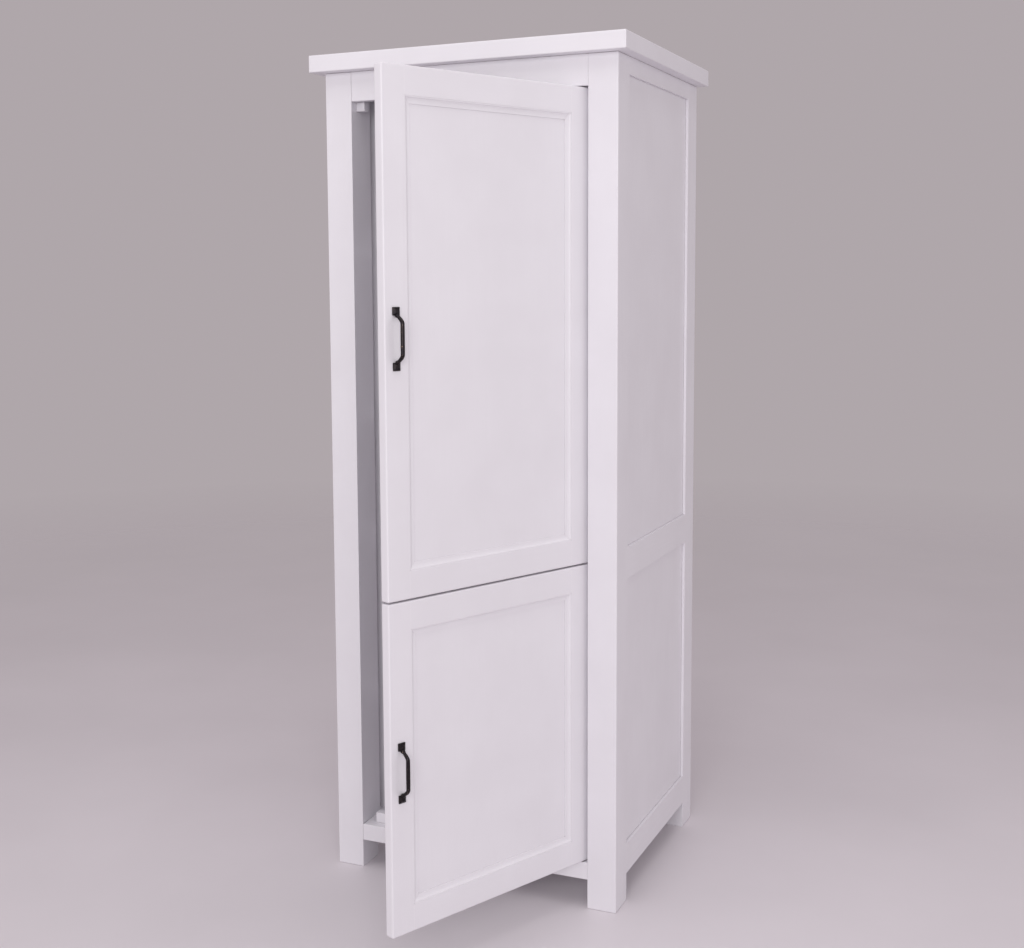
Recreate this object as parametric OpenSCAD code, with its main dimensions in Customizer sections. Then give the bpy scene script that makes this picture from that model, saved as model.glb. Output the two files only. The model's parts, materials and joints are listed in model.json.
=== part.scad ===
// Pantry cabinet: post-and-rail carcass with framed sides and back, loose shelves,
// and two inset panelled doors hung one above the other on concealed cup hinges.
// Millimetres. The origin is the outer corner of the front left post, on the floor:
// +X runs to the right along the front, +Y to the back and +Z up.

/* [Overall] */
// Width over the top board
overall_w = 750; // [700:1:900]
// Depth over the top board
overall_d = 654; // [640:1:760]
// Height from the floor to the top of the top board
overall_h = 1900; // [1800:1:2000]

/* [Top board] */
// Thickness of the top board
top_t = 38; // [25:1:45]
// Overhang of the top board beyond each side
side_overhang = 26; // [5:1:40]
// Overhang of the top board beyond the front
front_overhang = 30; // [5:1:40]
// Overhang of the top board beyond the back
back_overhang = 12; // [0:1:20]

/* [Posts and rails] */
// Width of a post, seen from the front
post_w = 66; // [60:1:75]
// Depth of a post, seen from the side
post_d = 75; // [72:1:90]
// Thickness of the rails
rail_t = 22; // [22:1:26]
// Floor to the underside of the front bottom rail
front_clearance = 66; // [60:1:90]
// Height of the front bottom rail
front_bottom_rail_h = 39; // [30:1:50]
// Height of the front top rail
front_top_rail_h = 66; // [50:1:80]
// Floor to the underside of the side and back bottom rails
side_clearance = 63; // [50:1:63]
// Height of the side and back bottom rails
bottom_rail_h = 69; // [60:1:80]
// Floor to the underside of the side and back middle rails
middle_rail_z = 737; // [650:1:800]
// Height of the side and back middle rails
middle_rail_h = 70; // [50:1:80]
// Height of the side and back top rails
top_rail_h = 38; // [30:1:60]

/* [Panels and shelves] */
// Thickness of the side and back panels
panel_t = 12; // [9:1:13]
// How far the panels lie back from the outer faces of the rails
panel_recess = 7; // [5:1:8]
// Thickness of the floor board and the shelves
board_t = 18; // [16:1:22]
// Front of the carcass to the front edge of the shelves
shelf_front = 110; // [100:1:125]
// Spacing of the holes for the shelf pins
hole_pitch = 96; // [64:1:100]

/* [Doors] */
// Angle of both doors from closed, as drawn
door_open = 66.5; // [0:0.5:100]
// Height of the lower door
lower_door_h = 668; // [500:1:750]
// Thickness of the doors
door_t = 22; // [21:1:23]
// Width of the stiles and rails of the doors
door_frame_w = 55; // [50:1:70]
// Width of the moulding round the door panels
moulding_w = 15; // [10:1:20]
// How far the door panels lie back from the face of the doors
door_panel_recess = 7; // [5:0.5:8]
// Gap between a door and the post on its hinge side
hinge_gap = 3; // [3:0.5:4]
// Gap between a door and the post on its free side
free_gap = 2; // [2:0.5:4]
// Gap above the upper door and below the lower door
end_gap = 2.5; // [2:0.5:4]
// Gap between the two doors
middle_gap = 3.5; // [3:0.5:8]

/* [Handles] */
// Height over the two feet of a handle
handle_h = 121; // [100:1:160]
// Middle of a door down to the middle of its handle
handle_drop = 3; // [0:1:40]
// Clear reach of the grip in front of the door
handle_reach = 16; // [14:1:30]
// Diameter of the grip
grip_d = 8.5; // [6:0.5:10]

/* [Hidden] */

$fn = 48;
LOW = 0;
HIGH = 1;
paint = [0.93, 0.92, 0.93];
iron = [0.08, 0.075, 0.07];
nickel = [0.7, 0.7, 0.68];
eps = 1;

// Carcass
body_w = overall_w - 2 * side_overhang;
body_d = overall_d - front_overhang - back_overhang;
body_h = overall_h - top_t;
opening_w = body_w - 2 * post_w;
side_span = body_d - 2 * post_d;
floor_z = front_clearance + front_bottom_rail_h;
back_inner_y = body_d - rail_t;

// Joinery: each rail has a tenon at each end, and each panel sits in grooves
tenon_t = 8;
tenon_l = 20;
tenon_shoulder = 8;
groove_d = 8;
joint_slack = 0.2;

// Rails of the sides and the back, as [underside, height], and the bays between them
frame_rails = [
    [side_clearance, bottom_rail_h],
    [middle_rail_z, middle_rail_h],
    [body_h - top_rail_h, top_rail_h]
];
frame_bays = [for (i = [LOW, HIGH]) [rail_top(frame_rails[i]), frame_rails[i + 1][0]]];
front_rails = [
    [front_clearance, front_bottom_rail_h],
    [body_h - front_top_rail_h, front_top_rail_h]
];

// Shelves, their uprights and their pins
strip_w = 13;
upright_w = 40;
front_upright_y = 120;
rear_upright_y = body_d - post_d - upright_w;
upright_ys = [front_upright_y, rear_upright_y];
side_slack = 1.5;
hole_r = 2.5;
hole_depth = 12;
first_hole_z = floor_z + 2 * hole_pitch;
hole_zs = [for (z = [first_hole_z : hole_pitch : body_h - 2 * hole_pitch]) z];
pin_r = 2.45;
pin_tab = [12, 10, 2];
shelf_rows = [1, 5, 8, 12];

// Doors
door_w = opening_w - free_gap - hinge_gap;
door_x = post_w + free_gap;
lower_door_z = floor_z + end_gap;
upper_door_z = lower_door_z + lower_door_h + middle_gap;
upper_door_h = body_h - front_top_rail_h - end_gap - upper_door_z;
door_panel_t = 8;
door_groove_d = 8;

// Hinges: the pivot lies inside the edge of the door, just behind its face
pivot_in = 12;
pivot_back = 8.5;
pivot_x = door_x + door_w - pivot_in;
hinge_end = 90;
lower_hinges = [lower_door_z + hinge_end, lower_door_z + lower_door_h - hinge_end];
upper_hinges = [
    upper_door_z + hinge_end,
    upper_door_z + upper_door_h / 2,
    upper_door_z + upper_door_h - hinge_end
];
all_hinges = concat(lower_hinges, upper_hinges);

// The parts of a hinge, measured from its pivot with the door closed
door_inner_y = door_t - pivot_back;
cup_r = 17.5;
cup_wall = 1.2;
cup_floor = 1;
cup_depth = 17.5;
cup_edge_in = 4;
cup_x = pivot_in - cup_edge_in - cup_r;
cup_flange_r = 19;
cup_flange_t = 1.2;
cup_ear = [14, cup_flange_t, 54];
hinge_pin_r = 1.5;
hinge_pin_l = 21;
lug_size = [6, 7, 3];
lug_z = 9;
running_slack = 0.05;
arm_w = 12;
arm_t = 3;
arm_hub_r = 2.8;
arm_loop_r = 19.5;
arm_spoke_angle = 176;
arm_bar_angle = 61;
arm_bar_lap = 8;
plate_size = [3, 34, 32];
plate_x = pivot_in + hinge_gap - plate_size.x;
plate_y = 25;

// Screws
screw_r = 2;
screw_slack = 0.1;
screw_head_r = 4;
screw_head_t = 2;
screw_bite = 14;
plate_screw_pitch = 22;
cup_screw_pitch = 42;
cup_screw_l = 12;

// Door stops, just behind the closed doors
stop_d = 20;
stop_y = door_t + 1;
upper_stop_size = [21, stop_d, 20];
lower_stop_size = [45, stop_d, 24];
upper_stop_z = body_h - front_top_rail_h - upper_stop_size.z;
lower_stop_x = post_w + 24;

// Handles: two square feet, a knuckle at the inner end of each, two bent necks and a grip
foot_w = 17;
foot_h = 16;
foot_t = 6;
foot_bore = 4.5;
knuckle_gap = 1.2;
knuckle_r = grip_d / 2 + 0.7;
knuckle_y = grip_d / 2 + knuckle_gap;
neck_bend_r = (handle_reach - knuckle_gap) / 2;
handle_in = 27;
handle_pitch = handle_h - foot_h;
grip_y = handle_reach + grip_d / 2;

// Mouldings: a lip, a small flat and a cove that falls to the panel. The outline is a list
// of [depth behind the door's face, distance in from the frame].
mitre_slack = 0.1;
moulding_lip = 1;
moulding_flat = 3;
cove_d = 4;
cove_w = 9;
cove_points = [
    for (a = [0 : 15 : 90]) [moulding_lip + cove_d * sin(a), moulding_flat + cove_w * (1 - cos(a))]
];
moulding_outline = concat(
    [[door_panel_recess, 0], [moulding_lip, 0]],
    cove_points,
    [[moulding_lip + cove_d, moulding_w], [door_panel_recess, moulding_w]]
);

function rail_top(r) = r[0] + r[1];
function handle_middle(door_h) = door_h / 2 - handle_drop;

// ---------------------------------------------------------------- helpers

// Draws its children and their mirror image on the other side of the carcass
module on_right() {
    translate([body_w, 0, 0]) mirror([1, 0, 0]) children();
}

// Turns something drawn along the front to the left side, outer face to outer face
module on_left_side() {
    translate([0, post_d, 0]) mirror([1, -1, 0]) children();
}

// Moves something drawn along the front to the back, outer face to outer face
module on_back() {
    translate([0, body_d, 0]) mirror([0, 1, 0]) children();
}

// Turns a door's pieces about the hinge axis, from closed to the angle as drawn
module swung() {
    translate([pivot_x, pivot_back, 0])
        rotate([0, 0, door_open])
            translate([-pivot_x, -pivot_back, 0])
                children();
}

// A rail along +X with its outer face at y = 0 and a tenon at each end
module rail(length, r, groove_below = false, groove_above = false) {
    translate([0, 0, r[0]]) difference() {
        union() {
            cube([length, rail_t, r[1]]);
            translate([-tenon_l, panel_recess, tenon_shoulder])
                cube([length + 2 * tenon_l, tenon_t, r[1] - 2 * tenon_shoulder]);
        }
        if (groove_below) translate([-eps, 0, -eps]) groove(length);
        if (groove_above) translate([-eps, 0, r[1] - groove_d]) groove(length);
    }
}

// The groove for a panel's edge, along a rail
module groove(length) {
    translate([0, panel_recess - joint_slack, 0])
        cube([length + 2 * eps, panel_t + 2 * joint_slack, groove_d + eps]);
}

// A panel along +X that fills one bay and enters the grooves round it
module panel(length, bay) {
    enter = groove_d - joint_slack;
    translate([-enter, panel_recess, bay[0] - enter])
        cube([length + 2 * enter, panel_t, bay[1] - bay[0] + 2 * enter]);
}

// The mortises and grooves that a post needs in its face at y = depth
module joints_in_post(depth, rails, bays) {
    for (r = rails)
        translate([
            panel_recess - joint_slack,
            depth - tenon_l - joint_slack,
            r[0] + tenon_shoulder - joint_slack
        ])
            cube([
                tenon_t + 2 * joint_slack,
                tenon_l + joint_slack + eps,
                r[1] - 2 * tenon_shoulder + 2 * joint_slack
            ]);
    for (bay = bays)
        translate([panel_recess - joint_slack, depth - groove_d, bay[0] - groove_d])
            cube([
                panel_t + 2 * joint_slack,
                groove_d + eps,
                bay[1] - bay[0] + 2 * groove_d
            ]);
}

// A left post with its outer corner at the origin: the side frame joins its back face,
// and the front or back frame joins its inner face
module post(cross_rails, cross_bays) {
    difference() {
        cube([post_w, post_d, body_h]);
        joints_in_post(post_d, frame_rails, frame_bays);
        mirror([1, -1, 0]) joints_in_post(post_w, cross_rails, cross_bays);
    }
}

module front_post() {
    post(front_rails, []);
}

module rear_post() {
    on_back() post(frame_rails, frame_bays);
}

// ---------------------------------------------------------------- carcass

module top_board() {
    color(paint)
        translate([-side_overhang, -front_overhang, body_h])
            cube([overall_w, overall_d, top_t]);
}

module front_left_post() {
    color(paint) front_post();
}

module front_right_post() {
    color(paint) difference() {
        on_right() front_post();
        at_hinges(all_hinges) plate_screws(screw_r + screw_slack);
    }
}

module rear_left_post() {
    color(paint) rear_post();
}

module rear_right_post() {
    color(paint) on_right() rear_post();
}

module front_top_rail() {
    color(paint) translate([post_w, 0, 0]) rail(opening_w, front_rails[HIGH]);
}

module front_bottom_rail() {
    color(paint) translate([post_w, 0, 0]) rail(opening_w, front_rails[LOW]);
}

module side_rail(i) {
    on_left_side() rail(side_span, frame_rails[i], i > 0, i < 2);
}

module back_rail(i) {
    on_back() translate([post_w, 0, 0]) rail(opening_w, frame_rails[i], i > 0, i < 2);
}

module left_top_rail() {
    color(paint) side_rail(2);
}

module right_top_rail() {
    color(paint) on_right() side_rail(2);
}

module left_middle_rail() {
    color(paint) side_rail(1);
}

module right_middle_rail() {
    color(paint) on_right() side_rail(1);
}

module left_bottom_rail() {
    color(paint) side_rail(0);
}

module right_bottom_rail() {
    color(paint) on_right() side_rail(0);
}

module left_upper_panel() {
    color(paint) on_left_side() panel(side_span, frame_bays[HIGH]);
}

module right_upper_panel() {
    color(paint) on_right() on_left_side() panel(side_span, frame_bays[HIGH]);
}

module left_lower_panel() {
    color(paint) on_left_side() panel(side_span, frame_bays[LOW]);
}

module right_lower_panel() {
    color(paint) on_right() on_left_side() panel(side_span, frame_bays[LOW]);
}

module back_top_rail() {
    color(paint) back_rail(2);
}

module back_middle_rail() {
    color(paint) back_rail(1);
}

module back_bottom_rail() {
    color(paint) back_rail(0);
}

module back_upper_panel() {
    color(paint) on_back() translate([post_w, 0, 0]) panel(opening_w, frame_bays[HIGH]);
}

module back_lower_panel() {
    color(paint) on_back() translate([post_w, 0, 0]) panel(opening_w, frame_bays[LOW]);
}

// ---------------------------------------------------------------- inside

// A square strip behind each front post, flush with the post's inner face
module post_strip() {
    translate([rail_t, post_d, floor_z]) cube([post_w - rail_t, strip_w, body_h - floor_z]);
}

module post_strips() {
    color(paint) {
        post_strip();
        on_right() post_strip();
    }
}

// The floor board fills the space between the rails and is notched round the posts
module floor_board() {
    color(paint) translate([0, 0, floor_z - board_t]) {
        translate([post_w, rail_t, 0]) cube([opening_w, body_d - 2 * rail_t, board_t]);
        translate([rail_t, post_d, 0]) cube([body_w - 2 * rail_t, side_span, board_t]);
    }
}

// Battens on the inside of the side bottom rails, under the floor board
module floor_cleat() {
    translate([rail_t, post_d, side_clearance])
        cube([rail_t, side_span, floor_z - board_t - side_clearance]);
}

module floor_cleats() {
    color(paint) {
        floor_cleat();
        on_right() floor_cleat();
    }
}

module shelf_upright(y) {
    difference() {
        translate([rail_t, y, floor_z]) cube([post_w - rail_t, upright_w, body_h - floor_z]);
        for (z = hole_zs)
            translate([post_w - hole_depth, y + upright_w / 2, z])
                rotate([0, 90, 0])
                    cylinder(r = hole_r, h = hole_depth + eps);
    }
}

module left_shelf_uprights() {
    color(paint) for (y = upright_ys) shelf_upright(y);
}

module right_shelf_uprights() {
    color(paint) on_right() for (y = upright_ys) shelf_upright(y);
}

// A shelf that rests on the pins in one row of holes, with an ear between the uprights
module shelf(row) {
    side = rail_t + side_slack;
    inside = post_w + side_slack;
    ear_y = front_upright_y + upright_w + side_slack;
    translate([0, 0, hole_zs[row] + hole_r]) {
        translate([inside, shelf_front, 0])
            cube([body_w - 2 * inside, back_inner_y - side_slack - shelf_front, board_t]);
        translate([side, ear_y, 0])
            cube([body_w - 2 * side, rear_upright_y - side_slack - ear_y, board_t]);
    }
}

module lower_shelf() {
    color(paint) shelf(shelf_rows[0]);
}

module middle_shelf() {
    color(paint) shelf(shelf_rows[1]);
}

module upper_shelf() {
    color(paint) shelf(shelf_rows[2]);
}

module top_shelf() {
    color(paint) shelf(shelf_rows[3]);
}

// A peg in an upright with a flat tab under the shelf
module shelf_pin(y, z) {
    translate([post_w, y + upright_w / 2, z]) {
        translate([-hole_depth + joint_slack, 0, 0])
            rotate([0, 90, 0])
                cylinder(r = pin_r, h = hole_depth + pin_tab.x - joint_slack);
        translate([0, -pin_tab.y / 2, hole_r - pin_tab.z]) cube(pin_tab);
    }
}

module shelf_pins() {
    color(nickel)
        for (row = shelf_rows, y = upright_ys) {
            shelf_pin(y, hole_zs[row]);
            on_right() shelf_pin(y, hole_zs[row]);
        }
}

// ---------------------------------------------------------------- stops

module upper_stop_block() {
    color(paint) translate([post_w, stop_y, upper_stop_z]) cube(upper_stop_size);
}

module lower_stop_block() {
    color(paint) translate([lower_stop_x, stop_y, floor_z]) cube(lower_stop_size);
}

// ---------------------------------------------------------------- hinges

// Places its children at the pivot of each hinge, with +X towards the post
module at_hinges(zs) {
    for (z = zs) translate([pivot_x, pivot_back, z]) children();
}

// A cylinder along +Y that starts at the given place
module along_y(at, r, h) {
    translate(at) rotate([-90, 0, 0]) cylinder(r = r, h = h);
}

// The arm, cut from one plate: a hub on the pin, a spoke, a loop round the edge of the
// door, and a bar on the mounting plate. The loop is centred on the pin, so the edge of
// the door turns inside it.
module hinge_arm() {
    linear_extrude(arm_w, center = true) difference() {
        union() {
            circle(r = arm_hub_r);
            rotate(arm_spoke_angle)
                translate([0, -arm_t / 2])
                    square([arm_loop_r + arm_t / 2, arm_t]);
            arm_loop();
            translate([plate_x - arm_t, plate_y - arm_bar_lap])
                square([arm_t, plate_size.y + arm_bar_lap]);
        }
        circle(r = hinge_pin_r + running_slack);
    }
}

// The loop, a ring cut to the angles between the bar and the spoke
module arm_loop() {
    far = 2 * arm_loop_r;
    intersection() {
        difference() {
            circle(r = arm_loop_r + arm_t);
            circle(r = arm_loop_r);
        }
        polygon([
            [0, 0],
            far * [cos(arm_bar_angle), sin(arm_bar_angle)],
            [0, far],
            far * [cos(arm_spoke_angle), sin(arm_spoke_angle)]
        ]);
    }
}

module hinge_arms() {
    color(nickel) at_hinges(all_hinges) hinge_arm();
}

module hinge_plate() {
    difference() {
        translate([plate_x, plate_y, -plate_size.z / 2]) cube(plate_size);
        plate_screws(screw_r + screw_slack);
    }
}

module hinge_plates() {
    color(nickel) at_hinges(all_hinges) hinge_plate();
}

// The shanks of the two screws of one plate, with heads where a head radius is given
module plate_screws(r, head_r = 0) {
    for (side = [-1, 1])
        translate([plate_x, plate_y + plate_size.y / 2, side * plate_screw_pitch / 2])
            rotate([0, 90, 0]) {
                cylinder(r = r, h = plate_size.x + screw_bite);
                if (head_r > 0) translate([0, 0, -screw_head_t]) cylinder(r = head_r, h = screw_head_t);
            }
}

module hinge_plate_screws() {
    color(nickel) at_hinges(all_hinges) plate_screws(screw_r, screw_head_r);
}

// The cup: a round box let into the stile, with a flange, two screw ears, and two lugs
// that hold the pin
module hinge_cup() {
    cup_y = door_inner_y - cup_depth;
    difference() {
        union() {
            along_y([cup_x, cup_y, 0], cup_r, cup_depth);
            along_y([cup_x, door_inner_y, 0], cup_flange_r, cup_flange_t);
            translate([cup_x - cup_ear.x / 2, door_inner_y, -cup_ear.z / 2]) cube(cup_ear);
        }
        along_y([cup_x, cup_y + cup_floor, 0], cup_r - cup_wall, cup_depth + cup_flange_t);
        cup_screws(screw_r + screw_slack);
    }
    difference() {
        for (side = [-1, 1])
            translate([-lug_size.x / 2, cup_y + cup_floor / 2, side * lug_z - lug_size.z / 2])
                cube(lug_size);
        cylinder(r = hinge_pin_r, h = hinge_pin_l + 2 * eps, center = true);
    }
}

module cup_screws(r, head_r = 0) {
    for (side = [-1, 1]) {
        at = [cup_x, door_inner_y + cup_flange_t, side * cup_screw_pitch / 2];
        along_y(at - [0, cup_screw_l, 0], r, cup_screw_l);
        if (head_r > 0) along_y(at, head_r, screw_head_t);
    }
}

module hinge_pin() {
    cylinder(r = hinge_pin_r, h = hinge_pin_l, center = true);
}

// ---------------------------------------------------------------- doors

// Each door piece is drawn with the free bottom corner of the closed door at the origin
// and its face at y = 0. This puts it in the carcass, turned to the angle as drawn.
module in_door(z) {
    swung() translate([door_x, 0, z]) children();
}

module stile(height) {
    difference() {
        cube([door_frame_w, door_t, height]);
        translate([door_frame_w - door_groove_d, door_panel_recess - joint_slack, -eps])
            cube([door_groove_d + eps, door_panel_t + 2 * joint_slack, height + 2 * eps]);
    }
}

// The stile at the free edge, bored for the handle's screws
module free_stile(height) {
    difference() {
        stile(height);
        handle_screws(height, screw_r + screw_slack);
    }
}

// The stile at the hinge edge, bored for the cups
module hinge_stile(z, height, hinges) {
    difference() {
        in_door(z) translate([door_w, 0, 0]) mirror([1, 0, 0]) stile(height);
        swung() at_hinges(hinges) {
            along_y([cup_x, door_inner_y - cup_depth, 0], cup_r + screw_slack, cup_depth + eps);
            cup_screws(screw_r + screw_slack);
        }
    }
}

// A bottom rail: its ends enter the grooves of the stiles, and its top edge is grooved
module door_rail() {
    span = door_w - 2 * door_frame_w;
    enter = door_groove_d - joint_slack;
    translate([door_frame_w, 0, 0]) difference() {
        union() {
            cube([span, door_t, door_frame_w]);
            translate([-enter, door_panel_recess, 0])
                cube([span + 2 * enter, door_panel_t, door_frame_w - door_groove_d]);
        }
        translate([-eps, door_panel_recess - joint_slack, door_frame_w - door_groove_d])
            cube([span + 2 * eps, door_panel_t + 2 * joint_slack, door_groove_d + eps]);
    }
}

// The same rail at the top of a door
module door_top_rail(height) {
    translate([0, 0, height]) mirror([0, 0, 1]) door_rail();
}

module door_panel(height) {
    from = door_frame_w - door_groove_d + joint_slack;
    translate([from, door_panel_recess, from])
        cube([door_w - 2 * from, door_panel_t, height - 2 * from]);
}

// One mitred strip of moulding along +X, between the frame below it and the panel behind it
module moulding_strip(length) {
    intersection() {
        rotate([90, 0, 90]) linear_extrude(length) polygon(moulding_outline);
        translate([0, door_panel_recess, 0])
            rotate([90, 0, 0])
                linear_extrude(door_panel_recess)
                    polygon([
                        [mitre_slack, 0],
                        [length - mitre_slack, 0],
                        [length - mitre_slack - moulding_w, moulding_w],
                        [mitre_slack + moulding_w, moulding_w]
                    ]);
    }
}

module moulding(height) {
    across = door_w - 2 * door_frame_w;
    up = height - 2 * door_frame_w;
    translate([door_frame_w, 0, door_frame_w]) {
        moulding_strip(across);
        translate([0, 0, up]) mirror([0, 0, 1]) moulding_strip(across);
        mirror([1, 0, -1]) moulding_strip(up);
        translate([across, 0, 0]) mirror([1, 0, 0]) mirror([1, 0, -1]) moulding_strip(up);
    }
}

// A square foot with a low pyramid on it, standing out from the door's face
module handle_foot() {
    translate([-foot_w / 2, -foot_t / 2, -foot_h / 2]) cube([foot_w, foot_t / 2, foot_h]);
    hull() {
        translate([-foot_w / 2, -foot_t / 2, -foot_h / 2]) cube([foot_w, 0.1, foot_h]);
        translate([-grip_d / 2, -foot_t, -grip_d / 2]) cube([grip_d, 0.1, grip_d]);
    }
}

// A quarter turn of the neck, from the grip at -Y to +Z
module neck_bend() {
    rotate([90, 0, -90])
        rotate_extrude(angle = 90)
            translate([neck_bend_r, 0])
                circle(d = grip_d);
}

// The upper half of a handle about its middle. The neck leaves the inner end of the foot,
// turns straight out from the door and turns back along the grip.
module handle_half() {
    neck_z = handle_pitch / 2 - foot_h / 2;
    bend_y = -(grip_y - neck_bend_r);
    difference() {
        union() {
            translate([0, 0, handle_pitch / 2]) handle_foot();
            translate([0, -knuckle_y, neck_z]) sphere(r = knuckle_r);
        }
        along_y([0, -foot_bore, handle_pitch / 2], screw_r + screw_slack, foot_bore + eps);
    }
    translate([0, bend_y, neck_z]) rotate([180, 0, 0]) neck_bend();
    translate([0, bend_y, neck_z - 2 * neck_bend_r]) neck_bend();
    translate([0, -grip_y, 0]) cylinder(d = grip_d, h = neck_z - 2 * neck_bend_r);
}

module handle(height) {
    translate([handle_in, 0, handle_middle(height)]) {
        handle_half();
        mirror([0, 0, 1]) handle_half();
    }
}

// The screws that hold the handle, from the inner face of the stile into the feet
module handle_screws(height, r, head_r = 0) {
    for (side = [-1, 1]) {
        at = [handle_in, 0, handle_middle(height) + side * handle_pitch / 2];
        along_y(at - [0, foot_bore - eps, 0], r, door_t + foot_bore - eps);
        if (head_r > 0) along_y(at + [0, door_t, 0], head_r, screw_head_t);
    }
}

// All the screws of one door
module door_screws(z, height, hinges) {
    in_door(z) handle_screws(height, screw_r, screw_head_r);
    swung() at_hinges(hinges) cup_screws(screw_r, screw_head_r);
}

module upper_door_hinge_stile() {
    color(paint) hinge_stile(upper_door_z, upper_door_h, upper_hinges);
}

module upper_door_free_stile() {
    color(paint) in_door(upper_door_z) free_stile(upper_door_h);
}

module upper_door_top_rail() {
    color(paint) in_door(upper_door_z) door_top_rail(upper_door_h);
}

module upper_door_bottom_rail() {
    color(paint) in_door(upper_door_z) door_rail();
}

module upper_door_panel() {
    color(paint) in_door(upper_door_z) door_panel(upper_door_h);
}

module upper_door_moulding() {
    color(paint) in_door(upper_door_z) moulding(upper_door_h);
}

module upper_door_hinge_cups() {
    color(nickel) swung() at_hinges(upper_hinges) hinge_cup();
}

module upper_door_hinge_pins() {
    color(nickel) swung() at_hinges(upper_hinges) hinge_pin();
}

module upper_door_screws() {
    color(nickel) door_screws(upper_door_z, upper_door_h, upper_hinges);
}

module upper_door_handle() {
    color(iron) in_door(upper_door_z) handle(upper_door_h);
}

module lower_door_hinge_stile() {
    color(paint) hinge_stile(lower_door_z, lower_door_h, lower_hinges);
}

module lower_door_free_stile() {
    color(paint) in_door(lower_door_z) free_stile(lower_door_h);
}

module lower_door_top_rail() {
    color(paint) in_door(lower_door_z) door_top_rail(lower_door_h);
}

module lower_door_bottom_rail() {
    color(paint) in_door(lower_door_z) door_rail();
}

module lower_door_panel() {
    color(paint) in_door(lower_door_z) door_panel(lower_door_h);
}

module lower_door_moulding() {
    color(paint) in_door(lower_door_z) moulding(lower_door_h);
}

module lower_door_hinge_cups() {
    color(nickel) swung() at_hinges(lower_hinges) hinge_cup();
}

module lower_door_hinge_pins() {
    color(nickel) swung() at_hinges(lower_hinges) hinge_pin();
}

module lower_door_screws() {
    color(nickel) door_screws(lower_door_z, lower_door_h, lower_hinges);
}

module lower_door_handle() {
    color(iron) in_door(lower_door_z) handle(lower_door_h);
}

top_board();
front_left_post();
front_right_post();
rear_left_post();
rear_right_post();
front_top_rail();
front_bottom_rail();
left_top_rail();
right_top_rail();
left_middle_rail();
right_middle_rail();
left_bottom_rail();
right_bottom_rail();
left_upper_panel();
right_upper_panel();
left_lower_panel();
right_lower_panel();
back_top_rail();
back_middle_rail();
back_bottom_rail();
back_upper_panel();
back_lower_panel();
post_strips();
floor_board();
floor_cleats();
left_shelf_uprights();
right_shelf_uprights();
lower_shelf();
middle_shelf();
upper_shelf();
top_shelf();
shelf_pins();
upper_stop_block();
lower_stop_block();
hinge_arms();
hinge_plates();
hinge_plate_screws();
upper_door_hinge_stile();
upper_door_free_stile();
upper_door_top_rail();
upper_door_bottom_rail();
upper_door_panel();
upper_door_moulding();
upper_door_hinge_cups();
upper_door_hinge_pins();
upper_door_screws();
upper_door_handle();
lower_door_hinge_stile();
lower_door_free_stile();
lower_door_top_rail();
lower_door_bottom_rail();
lower_door_panel();
lower_door_moulding();
lower_door_hinge_cups();
lower_door_hinge_pins();
lower_door_screws();
lower_door_handle();
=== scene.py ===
"""A white pantry cabinet with two framed doors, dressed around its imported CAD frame.

The CAD pieces give every place and size. This script rounds their edges, builds the forged
handles, paints everything, and sets the floor, the lights and the camera. Units are metres.
"""

import json
import math

import bmesh
import bpy
from mathutils import Matrix, Vector


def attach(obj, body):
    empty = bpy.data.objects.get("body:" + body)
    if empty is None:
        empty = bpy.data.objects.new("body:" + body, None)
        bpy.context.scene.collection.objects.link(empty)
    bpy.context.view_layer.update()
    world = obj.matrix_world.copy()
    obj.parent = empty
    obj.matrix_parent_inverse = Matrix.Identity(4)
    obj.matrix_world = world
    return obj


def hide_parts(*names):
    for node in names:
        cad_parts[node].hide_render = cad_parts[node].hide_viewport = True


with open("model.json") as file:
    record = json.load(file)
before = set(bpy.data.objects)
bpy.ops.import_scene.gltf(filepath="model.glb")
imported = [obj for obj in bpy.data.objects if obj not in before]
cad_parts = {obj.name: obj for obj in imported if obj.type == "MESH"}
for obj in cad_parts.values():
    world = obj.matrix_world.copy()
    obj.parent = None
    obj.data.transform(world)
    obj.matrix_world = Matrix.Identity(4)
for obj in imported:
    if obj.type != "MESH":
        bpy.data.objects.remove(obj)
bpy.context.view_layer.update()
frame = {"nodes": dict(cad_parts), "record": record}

MM = 0.001
RECORD = frame["record"]
NODES = frame["nodes"]
BODY_OF = {node: body for body, nodes in RECORD["behaviour"]["bodies"].items() for node in nodes}
SLOT_OF = {part["node"]: part["material_slot"] for part in RECORD["subparts"]}
DOORS = ("upper_door", "lower_door")
X, Y, Z = 0, 1, 2

# ------------------------------------------------------------------ geometry from the CAD

WELD = 0.005 * MM
NEAR = 0.05 * MM
FLAT = math.radians(1)
SHARP = math.radians(35)


def hinge_swing(door):
    """The turn that takes a closed door to the angle at which it is drawn."""
    joint = next(j for j in RECORD["behaviour"]["joints"] if j["child"] == door)
    pivot = Matrix.Translation(joint["pos_m"])
    turn = Matrix.Rotation(math.radians(-joint["range_deg"][0]), 4, Vector(joint["axis"]))
    return pivot @ turn @ pivot.inverted()


SWING = {body: hinge_swing(body) if body in DOORS else Matrix.Identity(4)
         for body in RECORD["behaviour"]["bodies"]}


def closed_box(nodes):
    """Lowest and highest corner of some CAD nodes of one body, with that body closed."""
    undo = SWING[BODY_OF[nodes[0]]].inverted()
    points = [undo @ v.co for node in nodes for v in NODES[node].data.vertices]
    low = Vector(min(p[i] for p in points) for i in range(3))
    high = Vector(max(p[i] for p in points) for i in range(3))
    return low, high


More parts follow.
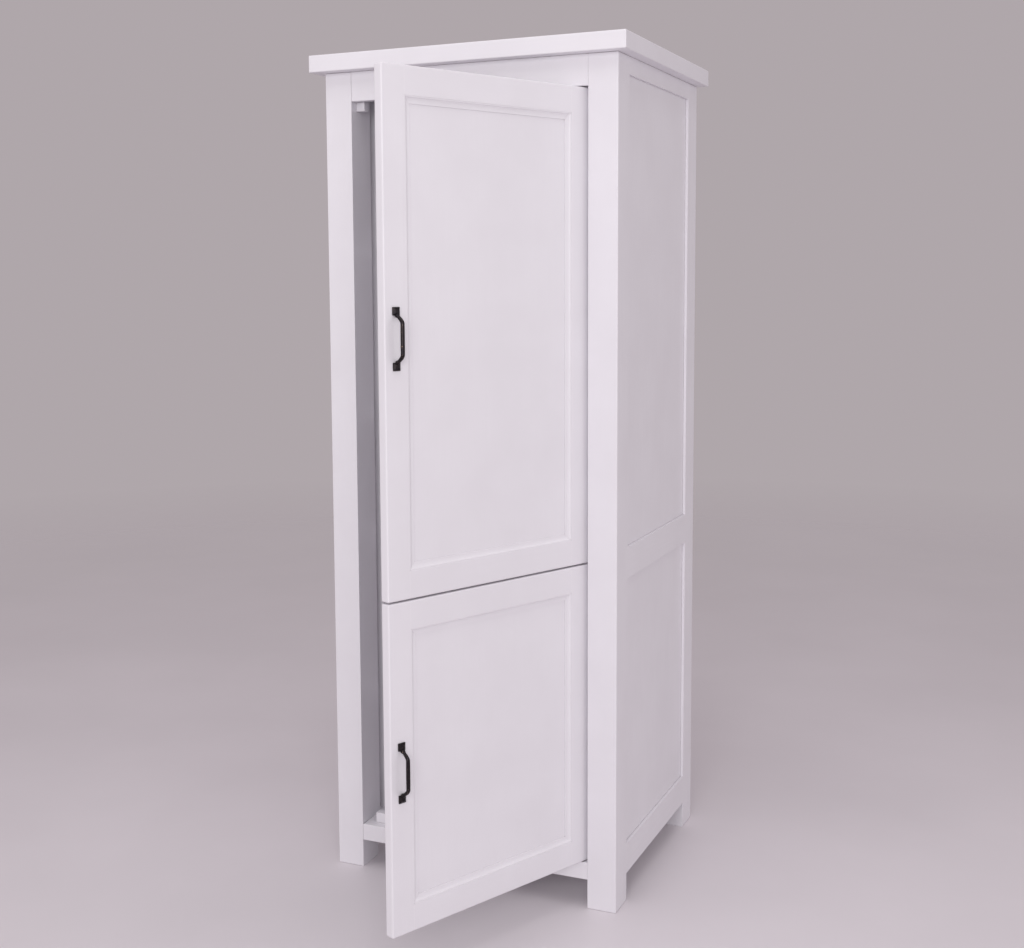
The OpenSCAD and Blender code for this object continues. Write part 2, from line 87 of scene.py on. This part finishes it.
def cad_copy(node):
    """The mesh of a CAD node with its flat faces whole, with its body closed."""
    bm = bmesh.new()
    bm.from_mesh(NODES[node].data)
    bmesh.ops.transform(bm, matrix=SWING[BODY_OF[node]].inverted(), verts=bm.verts)
    bmesh.ops.remove_doubles(bm, verts=bm.verts, dist=WELD)
    bmesh.ops.dissolve_limit(bm, angle_limit=FLAT, verts=bm.verts, edges=bm.edges)
    return bm


def shared_planes(edge, box):
    """How many faces of a box an edge lies in."""
    ends = [v.co for v in edge.verts]
    return sum(
        all(abs(end[axis] - corner[axis]) < NEAR for end in ends)
        for corner in box
        for axis in range(3)
    )


def sharp_edges(bm):
    """The sharp convex edges of a mesh."""
    return [e for e in bm.edges if e.is_manifold and e.calc_face_angle() > SHARP and e.is_convex]


def outer_edges(bm, box):
    """The sharp edges of a mesh that lie in two faces of a box, or more."""
    return [e for e in sharp_edges(bm) if shared_planes(e, box) >= 2]


def round_edges(bm, edges, radius, segments=3):
    """Rounds some edges of a mesh."""
    bmesh.ops.bevel(
        bm, geom=edges, offset=radius, offset_type="OFFSET", segments=segments,
        profile=0.5, affect="EDGES", clamp_overlap=True,
    )


def smooth_flats(bm):
    """Smooth shading that breaks at sharp edges."""
    for face in bm.faces:
        face.smooth = True
    for edge in bm.edges:
        edge.smooth = edge.calc_face_angle(math.pi) < SHARP


def add_object(name, bm):
    """A new object from a mesh that is then freed."""
    mesh = bpy.data.meshes.new(name)
    bm.to_mesh(mesh)
    bm.free()
    piece = bpy.data.objects.new(name, mesh)
    bpy.context.scene.collection.objects.link(piece)
    return piece


def flat_normals(piece):
    """Keeps the big flat faces flat next to narrow rounded edges."""
    modifier = piece.modifiers.new("flat_normals", "WEIGHTED_NORMAL")
    modifier.keep_sharp = True


def stand_for(piece, node, material):
    """Puts a piece where its closed CAD node is, hides that node and takes its finish."""
    piece.matrix_world = SWING[BODY_OF[node]]
    piece.data.materials.append(material)
    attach(piece, BODY_OF[node])
    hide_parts(node)


def rounded_piece(node, outer_box, outer_radius, joint_radius, material):
    """A CAD node with the edges in two faces of outer_box well rounded and the rest eased."""
    bm = cad_copy(node)
    if joint_radius:
        outer = set(outer_edges(bm, outer_box))
        eased = [e for e in sharp_edges(bm) if e not in outer]
        round_edges(bm, eased, joint_radius, segments=1)
    round_edges(bm, outer_edges(bm, outer_box), outer_radius)
    smooth_flats(bm)
    piece = add_object(node + "_wood", bm)
    flat_normals(piece)
    stand_for(piece, node, material)


def ease_edges(node, radius):
    """Eases the edges of a CAD node that stays as it is."""
    node_object = NODES[node]
    weld = node_object.modifiers.new("weld", "WELD")
    weld.merge_threshold = WELD
    flats = node_object.modifiers.new("flats", "DECIMATE")
    flats.decimate_type = "DISSOLVE"
    flats.angle_limit = FLAT
    bevel = node_object.modifiers.new("bevel", "BEVEL")
    bevel.width = radius
    bevel.segments = 2
    bevel.limit_method = "ANGLE"
    bevel.angle_limit = SHARP
    bevel.harden_normals = True


# ------------------------------------------------------------------ materials

def shader_tree(name):
    """An empty node material with its shader."""
    material = bpy.data.materials.new(name)
    material.use_nodes = True
    tree = material.node_tree
    shader = tree.nodes["Principled BSDF"]
    return material, tree, shader


def shader_node(tree, kind, values=(), **settings):
    """A shader node with some inputs, as numbers or links, and its own settings."""
    made = tree.nodes.new(kind)
    for key, value in settings.items():
        setattr(made, key, value)
    for key, value in dict(values).items():
        if isinstance(value, bpy.types.NodeSocket):
            tree.links.new(value, made.inputs[key])
        else:
            made.inputs[key].default_value = value
    return made


def noise(tree, scale, detail=3.0, rough=0.5):
    """Noise in the object's own coordinates, with so many cells per metre along X, Y and Z."""
    place = shader_node(tree, "ShaderNodeTexCoord").outputs["Object"]
    stretched = shader_node(tree, "ShaderNodeMapping", {"Vector": place, "Scale": scale})
    texture = shader_node(tree, "ShaderNodeTexNoise", {
        "Vector": stretched.outputs["Vector"], "Scale": 1.0, "Detail": detail, "Roughness": rough,
    })
    return texture.outputs["Fac"]


def spread(tree, value, low, high, to_low, to_high):
    """A value mapped from one range to another, held at its ends."""
    return shader_node(tree, "ShaderNodeMapRange", {
        "Value": value, "From Min": low, "From Max": high, "To Min": to_low, "To Max": to_high,
    }).outputs["Result"]


def blended(tree, factor, first, second):
    """A colour between two."""
    mix = shader_node(tree, "ShaderNodeMix", {"Factor": factor}, data_type="RGBA")
    for socket, colour in (("A_Color", first), ("B_Color", second)):
        target = next(i for i in mix.inputs if i.identifier == socket)
        if isinstance(colour, bpy.types.NodeSocket):
            tree.links.new(colour, target)
        else:
            target.default_value = (*colour, 1.0)
    return next(o for o in mix.outputs if o.identifier == "Result_Color")


def bump(tree, height, distance, strength, below=None):
    """A bump of so many metres, over another one if given."""
    values = {"Height": height, "Distance": distance, "Strength": strength}
    if below is not None:
        values["Normal"] = below
    return shader_node(tree, "ShaderNodeBump", values).outputs["Normal"]


def edge_mask(tree, radius):
    """Near 1 on the edges of a piece, within the radius, and 0 on its flats."""
    rounded = shader_node(tree, "ShaderNodeBevel", {"Radius": radius}, samples=4)
    true_normal = shader_node(tree, "ShaderNodeNewGeometry").outputs["Normal"]
    dot = shader_node(tree, "ShaderNodeVectorMath", operation="DOT_PRODUCT")
    tree.links.new(rounded.outputs["Normal"], dot.inputs[0])
    tree.links.new(true_normal, dot.inputs[1])
    return spread(tree, dot.outputs["Value"], 0.998, 0.9, 0.0, 1.0)


def corner_shade(tree, reach):
    """1 in the open, falling towards 0 in corners and gaps."""
    return shader_node(tree, "ShaderNodeAmbientOcclusion", {"Distance": reach}, samples=6).outputs["AO"]


PAINT = (0.812, 0.795, 0.836)
PAINT_LOW = (0.785, 0.766, 0.806)
# The next colour is a painted highlight on the rounded edges of each piece.
PAINT_EDGE_HIGHLIGHT = (0.845, 0.825, 0.862)
# The next colour is painted shade for corners, gaps and joint grooves.
PAINT_CREVICE_SHADE = (0.360, 0.325, 0.335)
PAINT_ROUGHNESS = (0.34, 0.48)
EDGE_HIGHLIGHT_WIDTH = 1.5 * MM
CREVICE = 5 * MM

# Noise cells per metre, and for grain and brush marks the fewer cells along their length
MOTTLE_CELLS = 7.0
PEEL_CELLS = 420.0
GRAIN_CELLS, GRAIN_CELLS_ALONG = 190.0, 7.0
BRUSH_CELLS, BRUSH_CELLS_ALONG = 1500.0, 45.0


def painted_wood(name, grain_axis):
    """Satin white paint over wood: brush marks, a trace of grain along one axis, a painted highlight on
    the edges and painted shade in corners and gaps.
    """
    material, tree, shader = shader_tree(name)

    def directed(across, along):
        return tuple(along if axis == grain_axis else across for axis in (X, Y, Z))

    grain_scale = directed(GRAIN_CELLS, GRAIN_CELLS_ALONG)
    mottle = noise(tree, (MOTTLE_CELLS,) * 3, detail=4.0)
    grain = noise(tree, grain_scale, detail=5.0, rough=0.6)
    strokes = noise(tree, directed(BRUSH_CELLS, BRUSH_CELLS_ALONG), detail=2.0)
    orange_peel = noise(tree, (PEEL_CELLS,) * 3, detail=2.0)

    body = blended(tree, spread(tree, mottle, 0.35, 0.65, 0.0, 1.0), PAINT, PAINT_LOW)
    faint_grain = spread(tree, grain, 0.3, 0.7, 0.0, 0.35)
    grained = blended(tree, faint_grain, body, PAINT_LOW)
    # Painted highlight: a lighter paint colour on the rounded edges of each piece, where light catches
    # them.
    edge_lit = blended(tree, edge_mask(tree, EDGE_HIGHLIGHT_WIDTH), grained, PAINT_EDGE_HIGHLIGHT)
    # Painted shade: a darker paint colour where ambient occlusion finds corners, gaps and the joint
    # grooves.
    crevice_shade = spread(tree, corner_shade(tree, CREVICE), 0.12, 0.55, 0.85, 0.0)
    tree.links.new(blended(tree, crevice_shade, edge_lit, PAINT_CREVICE_SHADE), shader.inputs["Base Color"])

    gloss = noise(tree, grain_scale, detail=3.0)
    tree.links.new(spread(tree, gloss, 0.3, 0.7, *PAINT_ROUGHNESS), shader.inputs["Roughness"])
    relief = bump(tree, grain, 0.12 * MM, 0.35)
    relief = bump(tree, orange_peel, 0.05 * MM, 0.35, relief)
    relief = bump(tree, strokes, 0.03 * MM, 0.5, relief)
    tree.links.new(relief, shader.inputs["Normal"])
    return material


IRON = (0.025, 0.023, 0.027)
IRON_BROWN = (0.042, 0.034, 0.033)
BRONZE = (0.430, 0.290, 0.210)
IRON_ROUGHNESS = (0.28, 0.50)


def forged_iron():
    """Black waxed iron, hammered, rubbed to bronze on its high edges."""
    material, tree, shader = shader_tree("black_iron")
    shader.inputs["Metallic"].default_value = 1.0
    patches = noise(tree, (160.0,) * 3, detail=4.0)
    dents = noise(tree, (330.0,) * 3, detail=2.0)
    pits = noise(tree, (1900.0,) * 3, detail=3.0)
    patina = blended(tree, spread(tree, patches, 0.4, 0.7, 0.0, 1.0), IRON, IRON_BROWN)
    high = shader_node(tree, "ShaderNodeNewGeometry").outputs["Pointiness"]
    broken = shader_node(tree, "ShaderNodeMath", operation="MULTIPLY")
    tree.links.new(spread(tree, high, 0.535, 0.61, 0.0, 1.0), broken.inputs[0])
    tree.links.new(spread(tree, patches, 0.46, 0.66, 0.10, 1.0), broken.inputs[1])
    tree.links.new(blended(tree, broken.outputs["Value"], patina, BRONZE), shader.inputs["Base Color"])
    tree.links.new(spread(tree, pits, 0.3, 0.7, *IRON_ROUGHNESS), shader.inputs["Roughness"])
    relief = bump(tree, dents, 0.25 * MM, 0.5)
    tree.links.new(bump(tree, pits, 0.05 * MM, 0.4, relief), shader.inputs["Normal"])
    return material


NICKEL = (0.62, 0.61, 0.58)
NICKEL_DULL = (0.40, 0.39, 0.37)
NICKEL_ROUGHNESS = (0.20, 0.38)


def nickel_plate():
    """Nickel-plated steel with fine drawn lines and dull patches."""
    material, tree, shader = shader_tree("nickel")
    shader.inputs["Metallic"].default_value = 1.0
    patches = noise(tree, (90.0,) * 3, detail=4.0)
    lines = noise(tree, (2400.0, 2400.0, 120.0), detail=2.0)
    worn = spread(tree, patches, 0.4, 0.7, 0.0, 0.8)
    tree.links.new(blended(tree, worn, NICKEL, NICKEL_DULL), shader.inputs["Base Color"])
    tree.links.new(spread(tree, lines, 0.3, 0.7, *NICKEL_ROUGHNESS), shader.inputs["Roughness"])
    tree.links.new(bump(tree, lines, 0.02 * MM, 0.4), shader.inputs["Normal"])
    return material


PAINTED = {axis: painted_wood("white_paint_" + "xyz"[axis], axis) for axis in (X, Y, Z)}
IRON_FINISH = forged_iron()
NICKEL_FINISH = nickel_plate()


def finish_for(name):
    """The material of a CAD node: paint with its grain along the node's longest side."""
    slot = SLOT_OF[name]
    if slot == "nickel":
        return NICKEL_FINISH
    if slot == "black_iron":
        return IRON_FINISH
    low, high = closed_box([name])
    size = high - low
    return PAINTED[max((X, Y, Z), key=lambda axis: size[axis])]


# ------------------------------------------------------------------ carcass and doors

OUTER_RADIUS = 1.6 * MM
TOP_RADIUS = 2.2 * MM
DOOR_RADIUS = 3.0 * MM
JOINT_RADIUS = 1.1 * MM
INNER_RADIUS = 0.8 * MM

POSTS = [name for name in NODES if name.endswith("_post")]
CARCASS_BOX = closed_box(POSTS)


def dress_carcass():
    """The outside of the carcass, with a fine line where a rail meets a post."""
    rounded_piece("top_board", closed_box(["top_board"]), TOP_RADIUS, 0, finish_for("top_board"))
    for name in POSTS:
        rounded_piece(name, CARCASS_BOX, OUTER_RADIUS, JOINT_RADIUS, finish_for(name))
    for name in NODES:
        if name.endswith("_rail") and BODY_OF[name] not in DOORS:
            rounded_piece(name, CARCASS_BOX, JOINT_RADIUS, JOINT_RADIUS, finish_for(name))


DOOR_WOOD = ("hinge_stile", "free_stile", "top_rail", "bottom_rail", "panel", "moulding")


def dress_door(door):
    """A painted door: its outline is rounded, and paint fills the joints of its frame."""
    outline = closed_box([f"{door}_{part}" for part in DOOR_WOOD])
    for part in DOOR_WOOD:
        name = f"{door}_{part}"
        rounded_piece(name, outline, DOOR_RADIUS, 0, finish_for(name))


def dress_the_rest():
    """Materials and eased edges for the CAD nodes that show as they are."""
    for name, shown in NODES.items():
        if shown.hide_render:
            continue
        shown.material_slots[0].material = finish_for(name)
        if SLOT_OF[name] == "white_paint":
            ease_edges(name, INNER_RADIUS)


# ------------------------------------------------------------------ handles

GRIP_R = 4.2 * MM
NECK_R = 3.1 * MM
KNUCKLE_R = 4.9 * MM
FOOT_HEIGHT = 16 * MM
FOOT_EDGE = 3 * MM
FOOT_RISE = 6 * MM
NECK_LENGTH = 16 * MM
NECK_BOW = 1.15
RINGS = 120
RING_POINTS = 24
FACETS = 8
VOXEL = 0.45 * MM
NECK_GAP = 0.6 * MM
GRIP_SWELL = 0.25 * MM
FACET_DEPTH = 0.035
KNUCKLE_GAP = 0.4 * MM
KNUCKLE_BELOW_FOOT = 0.5 * MM
KNUCKLE_SHAPE = (1.05, 0.95, 0.85, 1.0)
FOOT_BEVEL_RISE = 0.4 * MM
FOOT_BEVEL = 0.5 * MM
FOOT_SLOPE = 1.5


def add_loft(bm, rings):
    """A closed tube through rings of points."""
    made = [[bm.verts.new(p) for p in ring] for ring in rings]
    count = len(made[0])
    for below, above in zip(made, made[1:]):
        for i in range(count):
            j = (i + 1) % count
            bm.faces.new((below[i], below[j], above[j], above[i]))
    bm.faces.new(reversed(made[0]))
    bm.faces.new(made[-1])


def grip_rings(reach, half_height):
    """Rings along the grip and its two necks. A neck bows out from the foot in an arc."""
    knuckle_z = half_height - FOOT_HEIGHT
    grip_out = reach - GRIP_R
    neck_out = KNUCKLE_R + NECK_GAP

    def centre(z):
        along = min((knuckle_z - abs(z)) / NECK_LENGTH, 1.0)
        t = math.sin(math.pi / 2 * along) ** NECK_BOW
        return Vector((0, -(neck_out + (grip_out - neck_out) * t), z)), t

    rings = []
    for i in range(RINGS + 1):
        z = -knuckle_z + 2 * knuckle_z * i / RINGS
        middle, t = centre(z)
        ahead = centre(min(z + MM / 2, knuckle_z))[0] - centre(max(z - MM / 2, -knuckle_z))[0]
        across = Vector((1, 0, 0))
        out = ahead.normalized().cross(across)
        swell = GRIP_SWELL * math.cos(math.pi / 2 * z / knuckle_z)
        radius = NECK_R + (GRIP_R - GRIP_SWELL - NECK_R) * t + swell
        ring = []
        for k in range(RING_POINTS):
            angle = math.tau * k / RING_POINTS
            flat = 1 - FACET_DEPTH * math.cos(FACETS * angle)
            ring.append(middle + (across * math.cos(angle) + out * math.sin(angle)) * radius * flat)
        rings.append(ring)
    return rings


def add_foot(bm, side, width, half_height):
    """A square foot with a low pyramid, and the knuckle at its inner end."""
    low, high = half_height - FOOT_HEIGHT, half_height
    rise = FOOT_RISE - FOOT_EDGE
    levels = (
        (0.0, 0.0),
        (FOOT_EDGE - FOOT_BEVEL_RISE, 0.0),
        (FOOT_EDGE, FOOT_BEVEL),
        (FOOT_RISE, FOOT_SLOPE * rise),
    )
    rings = []
    for out, inset in levels:
        x = width / 2 - inset
        corners = ((-x, low + inset), (x, low + inset), (x, high - inset), (-x, high - inset))
        rings.append([Vector((cx, -out, side * cz)) for cx, cz in corners])
    if side < 0:
        rings = [ring[::-1] for ring in rings]
    add_loft(bm, rings)
    knuckle_at = (0, -KNUCKLE_R - KNUCKLE_GAP, side * (low - KNUCKLE_BELOW_FOOT))
    knuckle = Matrix.Translation(knuckle_at)
    flatten = Matrix.Diagonal(KNUCKLE_SHAPE)
    bmesh.ops.create_uvsphere(
        bm, u_segments=24, v_segments=16, radius=KNUCKLE_R, matrix=knuckle @ flatten)


def forge(piece):
    """Makes one skin of the overlapping shapes, and softens where they meet."""
    remesh = piece.modifiers.new("one_skin", "REMESH")
    remesh.mode = "VOXEL"
    remesh.voxel_size = VOXEL
    remesh.use_smooth_shade = True
    soften = piece.modifiers.new("soften", "SMOOTH")
    soften.factor = 0.5
    soften.iterations = 2
    depsgraph = bpy.context.evaluated_depsgraph_get()
    skin = bpy.data.meshes.new_from_object(piece.evaluated_get(depsgraph))
    piece.modifiers.clear()
    piece.data = skin


def forged_handle(door):
    """A bow handle that fills the CAD handle's box."""
    name = door + "_handle"
    low, high = closed_box([name])
    middle = (low + high) / 2
    bm = bmesh.new()
    half_height = (high.z - low.z) / 2
    add_loft(bm, grip_rings(high.y - low.y, half_height))
    for side in (-1, 1):
        add_foot(bm, side, high.x - low.x, half_height)
    bmesh.ops.recalc_face_normals(bm, faces=bm.faces)
    bmesh.ops.translate(bm, vec=(middle.x, high.y, middle.z), verts=bm.verts)
    piece = add_object(name + "_forged", bm)
    forge(piece)
    stand_for(piece, name, IRON_FINISH)


# ------------------------------------------------------------------ floor, lights, camera

FLOOR_SIZE = 16.0
FLOOR_MIDDLE = (0.35, 0.30, 0.0)
FADE_FROM, FADE_TO = 1.0, 6.5
FLOOR_TONE = (0.760, 0.720, 0.755)
FLOOR_TONE_LOW = (0.720, 0.682, 0.715)
FLOOR_ROUGHNESS = 0.5
BACKDROP = (0.430, 0.385, 0.404)


def pale_floor():
    """A pale floor that fades into the backdrop away from the cabinet."""
    bm = bmesh.new()
    bmesh.ops.create_grid(bm, x_segments=1, y_segments=1, size=FLOOR_SIZE / 2)
    floor = add_object("floor", bm)
    floor.location = FLOOR_MIDDLE
    material, tree, shader = shader_tree("floor")
    clouds = noise(tree, (1.3,) * 3, detail=5.0)
    tone = spread(tree, clouds, 0.35, 0.65, 0.0, 1.0)
    tree.links.new(blended(tree, tone, FLOOR_TONE, FLOOR_TONE_LOW), shader.inputs["Base Color"])
    shader.inputs["Roughness"].default_value = FLOOR_ROUGHNESS
    place = shader_node(tree, "ShaderNodeTexCoord").outputs["Object"]
    away = shader_node(tree, "ShaderNodeVectorMath", {0: place}, operation="LENGTH").outputs["Value"]
    fade = spread(tree, away, FADE_FROM, FADE_TO, 0.0, 1.0)
    clear = shader_node(tree, "ShaderNodeBsdfTransparent")
    faded = shader_node(tree, "ShaderNodeMixShader", {
        0: fade, 1: shader.outputs["BSDF"], 2: clear.outputs["BSDF"],
    })
    tree.links.new(faded.outputs["Shader"], tree.nodes["Material Output"].inputs["Surface"])
    floor.data.materials.append(material)


# Each light's name, place, target, width and height, and watts
LIGHTS = (
    ("key", (1.8, -4.3, 2.0), (0.4, 0.0, 1.0), (2.6, 2.0), 76),
    ("right_fill", (4.1, 0.0, 1.8), (0.7, 0.2, 1.0), (2.4, 2.4), 18),
    ("left_fill", (-2.4, -3.2, 2.0), (0.3, 0.0, 1.0), (2.4, 2.0), 17),
    ("overhead", (0.6, -1.2, 4.4), (0.5, -0.3, 0.0), (3.0, 3.0), 52),
)


def area_light(name, at, target, size, watts):
    """A white rectangular light that faces its target."""
    data = bpy.data.lights.new(name, "AREA")
    data.shape = "RECTANGLE"
    data.size, data.size_y = size
    data.energy = watts
    light = bpy.data.objects.new(name, data)
    bpy.context.scene.collection.objects.link(light)
    light.location = at
    light.rotation_euler = (Vector(target) - Vector(at)).to_track_quat("-Z", "Y").to_euler()


def studio():
    """Soft lights and an even backdrop."""
    world = bpy.data.worlds.new("studio")
    world.use_nodes = True
    world.node_tree.nodes["Background"].inputs["Color"].default_value = (*BACKDROP, 1.0)
    world.node_tree.nodes["Background"].inputs["Strength"].default_value = 1.0
    bpy.context.scene.world = world
    bpy.context.scene.view_settings.view_transform = "Standard"
    for light in LIGHTS:
        area_light(*light)


SENSOR_WIDTH = 36
LENS = 49.06
CAMERA_AT = (1.6299, -2.8169, 1.3929)
CAMERA_YAW, CAMERA_PITCH, CAMERA_ROLL = 0.428, 0.104, -0.008
CAMERA_SHIFT = (0.0448, -0.0471)


def photo_camera():
    """The camera at the viewing angle of the photograph, framed with a lens shift."""
    data = bpy.data.cameras.new("camera")
    data.sensor_width = SENSOR_WIDTH
    data.lens = LENS
    data.shift_x, data.shift_y = CAMERA_SHIFT
    camera = bpy.data.objects.new("camera", data)
    bpy.context.scene.collection.objects.link(camera)
    look = Matrix.Rotation(CAMERA_YAW, 4, "Z") @ Matrix.Rotation(math.pi / 2 - CAMERA_PITCH, 4, "X")
    camera.matrix_world = Matrix.Translation(CAMERA_AT) @ look @ Matrix.Rotation(CAMERA_ROLL, 4, "Z")
    bpy.context.scene.camera = camera


photo_camera()
dress_carcass()
for door in DOORS:
    dress_door(door)
    forged_handle(door)
dress_the_rest()
pale_floor()
studio()
